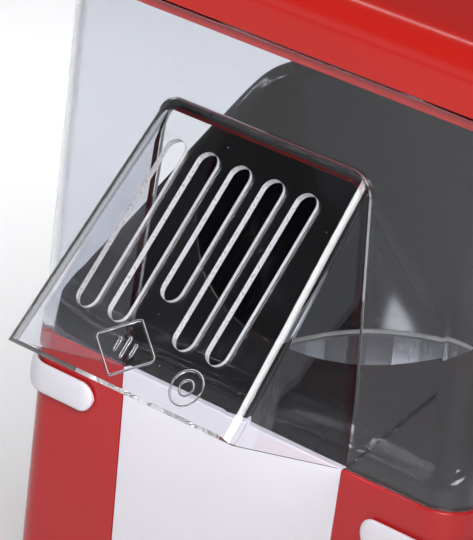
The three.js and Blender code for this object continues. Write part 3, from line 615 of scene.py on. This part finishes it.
def below_chute():
    """Everything under the line from the seam to the lip, and past the lip, as a prism across the chute.

    The lip is trimmed a hair back, so that its rounded edge stays inside the chute's box.
    """
    _, down, inward = chute_frame()
    start = np.array([0, FRONT, SEAM + GAP])
    lip = np.array([0, chute_low.y + mm(0.02), CHUTE_LIP])
    edge = lip + down * mm(1) + inward * CHUTE_WALL
    corners = [start + [0, mm(20), 0], start, edge, lip, lip - inward * mm(8), lip + down * mm(60),
               start + [0, -mm(40), -mm(90)], start + [0, mm(20), -mm(90)]]
    outline = np.array(corners)[:, 1:]
    return prisms([outline], (0, 0, 0), ALONG_Y, ALONG_Z, ALONG_X, (-mm(70), mm(70)), chute_styrene)


def beads(paths, thickness, height):
    """Low rounded beads along closed loops of (across, along) points on the sloped panel, half sunk into it."""
    origin, down, inward = chute_frame()
    angle = np.linspace(0, 2 * math.pi, 12, endpoint=False)
    sunk = mm(0.05)
    points, faces, start = [], [], 0
    for path in paths:
        normals = plan_normals(path, True)
        plan = path[:, None, :] + normals[:, None, :] * (thickness / 2 * np.cos(angle))[None, :, None]
        rise = np.broadcast_to(height * np.sin(angle) - sunk, plan.shape[:2])
        spots = origin + plan[..., :1] * ALONG_X + plan[..., 1:] * down - rise[..., None] * inward
        points.append(spots.reshape(-1, 3))
        faces += grid_faces(len(path), len(angle), True, True, start)
        start += len(points[-1])
    return make_piece("beads", np.concatenate(points), faces, chute_styrene)


def chute_marks():
    """Two plain raised marks below the slots: a lozenge round three short ribs, and a ring in a ring."""
    def ring(x, along, radius):
        return corner_arc((x, along), radius, 0, 360, 48)[:-1]

    def lozenge(x, along, half, tall, radius):
        sides = [(x + half, along, -45, 45), (x, along + tall, 45, 135), (x - half, along, 135, 225),
                 (x, along - tall, 225, 315)]
        return np.concatenate([corner_arc((cx, cy), radius, first, last, 6)
                               for cx, cy, first, last in sides])

    lozenge_x, lozenge_along = mm(-4), mm(81)
    ring_x, ring_along = mm(25.5), mm(84.5)
    marks = [lozenge(lozenge_x, lozenge_along, mm(11), mm(8.5), mm(1.5)),
             ring(ring_x, ring_along, mm(6)), ring(ring_x, ring_along, mm(2.6))]
    for shift, tall in ((-3.5, 2.2), (0, 3.6), (3.5, 2.2)):
        low, high = lozenge_along - mm(tall), lozenge_along + mm(tall)
        marks.append(stadium(lozenge_x + mm(shift), low, high, mm(0.5), 4))
    return beads(marks, mm(0.9), mm(0.4))


def clear_chute():
    """The clear chute: trimmed below, with its marks added, five slots cut through and its edges rounded."""
    origin, down, inward = chute_frame()
    sizes = [SLOT_LENGTH, SLOT_LENGTH, SLOT_MIDDLE, SLOT_LENGTH, SLOT_LENGTH]
    outlines = [stadium((i - len(sizes) // 2) * SLOT_PITCH, SLOT_START, SLOT_START + size, SLOT_WIDTH / 2)
                for i, size in enumerate(sizes)]
    slots = prisms(outlines, origin, ALONG_X, down, inward, (-mm(4), mm(6)), slot_wall_painted_highlight)
    piece = chute_body()
    steps = [("DIFFERENCE", below_chute()), ("UNION", chute_marks()), ("DIFFERENCE", slots)]
    shape(piece, steps, mm(0.4))
    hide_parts("chute")
    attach(piece, "hood")


# ---- slide ----
DECK_RISE = mm(7)
DECK_SLOPE = 0.7
DECK_TOP = mm(79)
DECK_KNEE = mm(5)
SLIDE_INSET = HALF - slide_high.x
SLIDE_WALL = mm(2.4)
BOWL_SIDE_MARGIN = mm(10)
BOWL_BACK_MARGIN = mm(10.8)
THROAT_RADIUS = mm(47.5)


def deck_height(y):
    """The deck's height: rising backwards, then level, with a soft knee between the two."""
    ramp = DECK_RISE + DECK_SLOPE * (y - FRONT)
    return SEAM + (ramp + DECK_TOP - np.sqrt((ramp - DECK_TOP) ** 2 + DECK_KNEE ** 2)) / 2


def outline_at(angle, inset):
    """Where a ray from the bowl's centre at an angle meets the body's rounded outline, moved in by an inset."""
    half_x = HALF - inset
    low, high = FRONT + inset, BACK - inset
    radius = CORNER - inset
    c, s = np.cos(angle), np.sin(angle)
    tiny = 1e-9
    ahead = np.where(s > 0, (high - BOWL_Y) / np.maximum(s, tiny), (BOWL_Y - low) / np.maximum(-s, tiny))
    reach = np.minimum(half_x / np.maximum(np.abs(c), tiny), ahead)
    corner_x = np.sign(c) * (half_x - radius)
    corner_y = np.where(s > 0, high - radius, low + radius) - BOWL_Y
    along = c * corner_x + s * corner_y
    across = np.abs(c * corner_y - s * corner_x)
    round_reach = along + np.sqrt(np.clip(radius ** 2 - across ** 2, 0, None))
    tip_x, tip_y = round_reach * c, round_reach * s
    in_corner = (np.abs(tip_x) > half_x - radius) & (np.abs(tip_y - corner_y) <= radius)
    in_corner &= np.where(s > 0, tip_y > corner_y, tip_y < corner_y) & (across < radius)
    reach = np.where(in_corner, np.minimum(reach, round_reach), reach)
    return np.stack([reach * c, BOWL_Y + reach * s], -1)


def rear_wall(start):
    """The wall on the deck behind the hood: a section carried round the back, its foot following the deck."""
    reach = HALF - SLIDE_INSET
    cx, cy, radius = HALF - CORNER, BACK - CORNER, CORNER - SLIDE_INSET
    near = np.linspace(HOOD_BACK + GAP, cy, 12)[:-1]
    side = np.stack([np.full_like(near, reach), near], -1)
    half = np.concatenate([side, corner_arc((cx, cy), radius, 0, 90, 10)])
    path = np.concatenate([half, half[::-1] * [-1, 1]])
    sunk, edge = mm(2), mm(0.8)
    loops = np.stack([wall_loop(-SLIDE_WALL, 0, deck_height(y) - sunk, slide_high.z, edge)
                      for y in path[:, 1]])
    points = carry(path, loops, False)
    return points.reshape(-1, 3), swept_faces(len(path), loops.shape[1], start)


def popcorn_slide():
    """The black slide: for each direction from the bowl's centre one closed profile, and a wall behind it.

    The profile runs up the bowl from the round throat to the oval mouth, over a rounded rim on to the deck,
    over the deck's rounded outer edge, down the skirt, and back underneath at the wall's thickness.
    """
    steps = 288
    angle = np.linspace(0, 2 * math.pi, steps, endpoint=False)
    across = HALF - SLIDE_INSET - BOWL_SIDE_MARGIN
    along = BACK - BOWL_Y - SLIDE_INSET - BOWL_BACK_MARGIN
    throat_z = gasket_high.z + GAP
    ray = np.stack([np.cos(angle), np.sin(angle)], -1)
    mouth_reach = 1 / np.sqrt((ray[:, 0] / across) ** 2 + (ray[:, 1] / along) ** 2)
    centre = np.array([0, BOWL_Y])
    edge = outline_at(angle, SLIDE_INSET)
    edge_reach = np.linalg.norm(edge - centre, axis=1)
    rows = []

    def row(reach, z):
        rows.append(np.concatenate([centre + ray * np.reshape(reach, (-1, 1)),
                                    np.broadcast_to(z, (steps,))[:, None]], -1))

    def deck_at(reach):
        return deck_height(BOWL_Y + ray[:, 1] * reach)

    rim = np.minimum(mm(2.5), (edge_reach - mouth_reach) * 0.35)
    round_edge = np.minimum(mm(5), (edge_reach - mouth_reach) * 0.5)
    rim_z = deck_at(mouth_reach)
    for t in np.linspace(0, 1, 14):
        flare = t ** 0.8
        row(THROAT_RADIUS + (mouth_reach - THROAT_RADIUS) * flare, throat_z + (rim_z - rim - throat_z) * t)
    for a in np.radians([25, 45, 65, 90]):
        reach = mouth_reach + rim * (1 - np.cos(a))
        row(reach, deck_at(reach) - rim * (1 - np.sin(a)))
    inner, outer = mouth_reach + rim, edge_reach - round_edge
    for t in np.linspace(0, 1, 10)[1:]:
        reach = inner + (outer - inner) * t
        row(reach, deck_at(reach))
    for a in np.radians([15, 30, 45, 60, 75, 90]):
        reach = edge_reach - round_edge * (1 - np.sin(a))
        row(reach, deck_at(edge_reach) - round_edge * (1 - np.cos(a)))
    row(edge_reach, slide_low.z + mm(2))
    row(edge_reach, slide_low.z)
    row(edge_reach - SLIDE_WALL, slide_low.z)
    row(edge_reach - SLIDE_WALL, deck_at(edge_reach) - round_edge - SLIDE_WALL)
    row(mouth_reach + SLIDE_WALL, rim_z - rim - SLIDE_WALL)
    row(np.full(steps, THROAT_RADIUS + SLIDE_WALL), np.full(steps, throat_z))
    points = np.array(rows).reshape(-1, 3)
    faces = grid_faces(len(rows), steps, True, True)
    rear_points, rear_faces = rear_wall(len(points))
    piece = make_piece("black_popcorn_slide", np.concatenate([points, rear_points]), faces + rear_faces,
                       black_plastic, sharp=50)
    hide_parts("popcorn_slide")
    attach(piece, "base")


def rear_housing():
    """The red rear housing: a wall section carried round the back between the hood's rear edges."""
    cx = HALF - CORNER
    start = HOOD_BACK + GAP
    path = np.concatenate([[[HALF, start]], corner_arc((cx, BACK - CORNER), CORNER, 0, 90, 14),
                           corner_arc((-cx, BACK - CORNER), CORNER, 90, 180, 14), [[-HALF, start]]])
    loop = wall_loop(-SHELL_WALL, 0, rear_low.z, rear_high.z, EDGE)
    points = carry(path, np.repeat(loop[None], len(path), 0), False)
    faces = swept_faces(len(path), len(loop))
    piece = make_piece("red_rear_housing", points.reshape(-1, 3), faces, red_abs)
    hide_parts("rear_housing")
    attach(piece, "base")


# ---- roof and cup ----
def roof_cover():
    """The red roof: rings of the body's outline that draw in over a fillet and turn into the round collar.

    A ring is the outline moved in, mixed with a circle by a share that grows from the fillet to the collar.
    """
    base = HOOD_TOP + GAP
    side, fillet, wall = mm(10), mm(12), mm(2.4)
    collar, hole, draw_in = mm(40), mm(33), mm(34)
    top = roof_high.z
    steps = 16
    cx = HALF - CORNER

    def ring(inset, z, share=0.0, radius=0.0):
        r = max(CORNER - inset, mm(2))
        x, low, high = HALF - inset - r, FRONT + inset + r, BACK - inset - r
        outline = np.concatenate([corner_arc((x, low), r, -90, 0, steps),
                                  corner_arc((x, high), r, 0, 90, steps),
                                  corner_arc((-x, high), r, 90, 180, steps),
                                  corner_arc((-x, low), r, 180, 270, steps)])
        angle = np.arctan2(outline[:, 1] - MIDDLE, outline[:, 0])
        circle = np.stack([radius * np.cos(angle), MIDDLE + radius * np.sin(angle)], -1)
        plan = outline * (1 - share) + circle * share
        return np.concatenate([plan, np.full((len(plan), 1), z)], -1)

    rows = [ring(mm(0.6), base), ring(mm(0.15), base + mm(0.3)), ring(0, base + mm(0.7)), ring(0, base + side)]
    for a in np.radians([15, 30, 45, 60, 75, 88]):
        rows.append(ring(fillet * (1 - math.cos(a)), base + side + fillet * math.sin(a)))
    crown = base + side + fillet
    shoulder = top - mm(5)
    for t in np.linspace(0, 1, 9)[1:]:
        climb = (shoulder - crown) * math.sin(t * math.pi / 2)
        rows.append(ring(fillet + draw_in * t, crown + climb, smooth(t), collar))
    rows += [ring(0, shoulder + mm(0.6), 1, collar), ring(0, top - mm(1), 1, collar),
             ring(0, top - mm(0.3), 1, collar - mm(0.3)), ring(0, top, 1, collar - mm(1)),
             ring(0, top, 1, hole + mm(1)), ring(0, top - mm(0.3), 1, hole + mm(0.3)),
             ring(0, top - mm(1), 1, hole), ring(0, shoulder - wall, 1, hole)]
    for t in np.linspace(1, 0, 6)[1:]:
        climb = (shoulder - crown) * math.sin(t * math.pi / 2)
        rows.append(ring(fillet + draw_in * t, crown - wall + climb, smooth(t), hole + (collar - hole) * t))
    lip = SHELL_WALL + GAP
    rows += [ring(fillet * 0.6, crown - wall - fillet * 0.2), ring(lip + mm(1.8), base + side),
             ring(lip + mm(1.8), base - mm(4.3)), ring(lip + mm(0.3), base - mm(4.3)), ring(lip, base - mm(4)),
             ring(lip, base)]
    points = np.array(rows)
    faces = grid_faces(len(rows), points.shape[1], True, True)
    piece = make_piece("red_roof", points.reshape(-1, 3), faces, roof_abs_painted_lighter, sharp=40)
    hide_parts("roof_cover")
    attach(piece, "roof")


def turned_piece(name, profile, centre, material, steps=96, sharp=35):
    """A profile of (radius, height) points turned about the upright axis, from one pole to the other."""
    profile = np.array(profile)
    angle = np.linspace(0, 2 * math.pi, steps, endpoint=False)
    ring = np.stack([np.cos(angle), np.sin(angle)], -1)
    plan = profile[1:-1, None, :1] * ring[None] + np.array(centre)
    heights = np.repeat(profile[1:-1, None, 1:], steps, 1)
    rings = np.concatenate([plan, heights], -1).reshape(-1, 3)
    points = np.concatenate([[[*centre, profile[0, 1]]], rings, [[*centre, profile[-1, 1]]]])
    last = len(points) - 1
    faces = [[0, 1 + (k + 1) % steps, 1 + k] for k in range(steps)]
    faces += grid_faces(len(profile) - 2, steps, False, True, 1)
    faces += [[last - steps + k, last - steps + (k + 1) % steps, last] for k in range(steps)]
    return make_piece(name, points, faces, material, sharp)


def measuring_cup():
    """The clear cup: a thin tapered wall with a floor and a flat rim, turned about the roof's middle."""
    radius, wall, taper = mm(31.5), mm(1.6), mm(4)
    low, high = cup_low.z, cup_high.z
    rim = cup_high.x
    profile = [(0, low), (radius - taper - mm(2), low), (radius - taper - mm(0.6), low + mm(0.5)),
               (radius - taper, low + mm(2)), (radius - mm(0.2), high - mm(2.4)),
               (rim - mm(0.5), high - mm(2.4)), (rim, high - mm(1.9)), (rim, high - mm(0.5)),
               (rim - mm(0.5), high), (radius - wall + mm(0.8), high), (radius - wall, high - mm(0.8)),
               (radius - taper - wall, low + mm(3)),
               (radius - taper - wall - mm(1.4), low + wall), (0, low + wall)]
    piece = turned_piece("clear_measuring_cup", profile, (0, MIDDLE), clear_styrene)
    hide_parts("measuring_cup")
    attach(piece, "cup")


# ---- carried-over pieces ----
CARRIED = [
    (black_plastic, ["base_plate", "switch_bezel"]),
    (red_abs, ["switch_rocker"]),
    (rubber, ["foot_1", "foot_2", "foot_3", "foot_4", "mount_bush_1", "mount_bush_2", "mount_bush_3",
              "cord_gland"]),
    (silicone, ["chamber_gasket"]),
    (spun_aluminium, ["popping_chamber"]),
    (zinc_steel, ["air_duct", "motor", "motor_mount", "thermostat", "motor_shaft", "base_screw_1",
                  "base_screw_2", "base_screw_3", "base_screw_4"]),
    (heating_alloy, ["heating_coil"]),
    (mica, ["heater_frame"]),
    (ceramic, ["thermal_fuse"]),
    (circuit_board, ["power_board"]),
    (fan_nylon, ["fan_impeller"]),
]


def dress_carried_nodes():
    """Gives each node that keeps its own shape the material it is made of."""
    for material, names in CARRIED:
        for name in names:
            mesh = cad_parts[name].data
            mesh.materials.clear()
            mesh.materials.append(material)


# ---- stage ----
def add_light(name, place, target, size, power, spread=180):
    """A soft lamp facing a target: its width lies along the machine's front; its beam is its spread wide."""
    data = bpy.data.lights.new(name, "AREA")
    data.shape = "RECTANGLE"
    data.size, data.size_y = size
    data.spread = math.radians(spread)
    data.energy = power
    lamp = bpy.data.objects.new(name, data)
    back = (Vector(place) - Vector(target)).normalized()
    across = (Vector((1, 0, 0)) - back * back.x).normalized()
    turn = Matrix((across, back.cross(across), back)).transposed().to_4x4()
    lamp.matrix_world = Matrix.Translation(place) @ turn
    bpy.context.scene.collection.objects.link(lamp)


def add_stage():
    """A wide pale floor, a bright even surround and soft lamps."""
    size = 6.0
    points = np.array([[-size, -size, 0], [size, -size, 0], [size, size, 0], [-size, size, 0]])
    mesh = bpy.data.meshes.new("floor")
    mesh.from_pydata(points.tolist(), [], [[0, 1, 2, 3]])
    material, _, shader, _, _ = new_material("pale_floor")
    shader.inputs["Base Color"].default_value = colour("#F4F4F5")
    shader.inputs["Roughness"].default_value = 0.6
    mesh.materials.append(material)
    floor = bpy.data.objects.new("floor", mesh)
    bpy.context.scene.collection.objects.link(floor)
    world = bpy.data.worlds.new("surround")
    world.use_nodes = True
    tree = world.node_tree
    background = tree.nodes["Background"]
    direction = node(tree, "ShaderNodeTexCoord").outputs["Generated"]
    height = node(tree, "ShaderNodeSeparateXYZ", [("Vector", direction)]).outputs["Z"]
    fade = node(tree, "ShaderNodeMapRange", [("Value", height)], interpolation_type="SMOOTHSTEP",
                From_Min=0.1, From_Max=0.4, To_Min=0.6, To_Max=0.1)
    tree.links.new(fade.outputs[0], background.inputs["Strength"])
    background.inputs["Color"].default_value = colour("#F4F6FB")
    bpy.context.scene.world = world
    middle = (0, 0, 0.15)
    add_light("front_softbox", (1.2, -1.45, 1.75), middle, (1.5, 0.9), 50.0)
    add_light("roof_strip", (-0.99, 0.25, 1.48), (0, -0.05, 0.26), (1.0, 0.14), 2.2)
    add_light("floor_softbox", (-0.5, 0.44, 1.5), (-0.5, 0.38, 0), (0.5, 0.5), 1.3, spread=46)
    bpy.context.scene.view_settings.view_transform = "Standard"
    paths = bpy.context.scene.cycles
    paths.max_bounces, paths.glossy_bounces, paths.transmission_bounces = 28, 24, 28


base_shell()
front_panel()
side_grip("left_grip", -1)
side_grip("right_grip", 1)
rear_housing()
popcorn_slide()
clear_hood()
clear_chute()
roof_cover()
measuring_cup()
dress_carried_nodes()
add_stage()
bpy.context.view_layer.update()
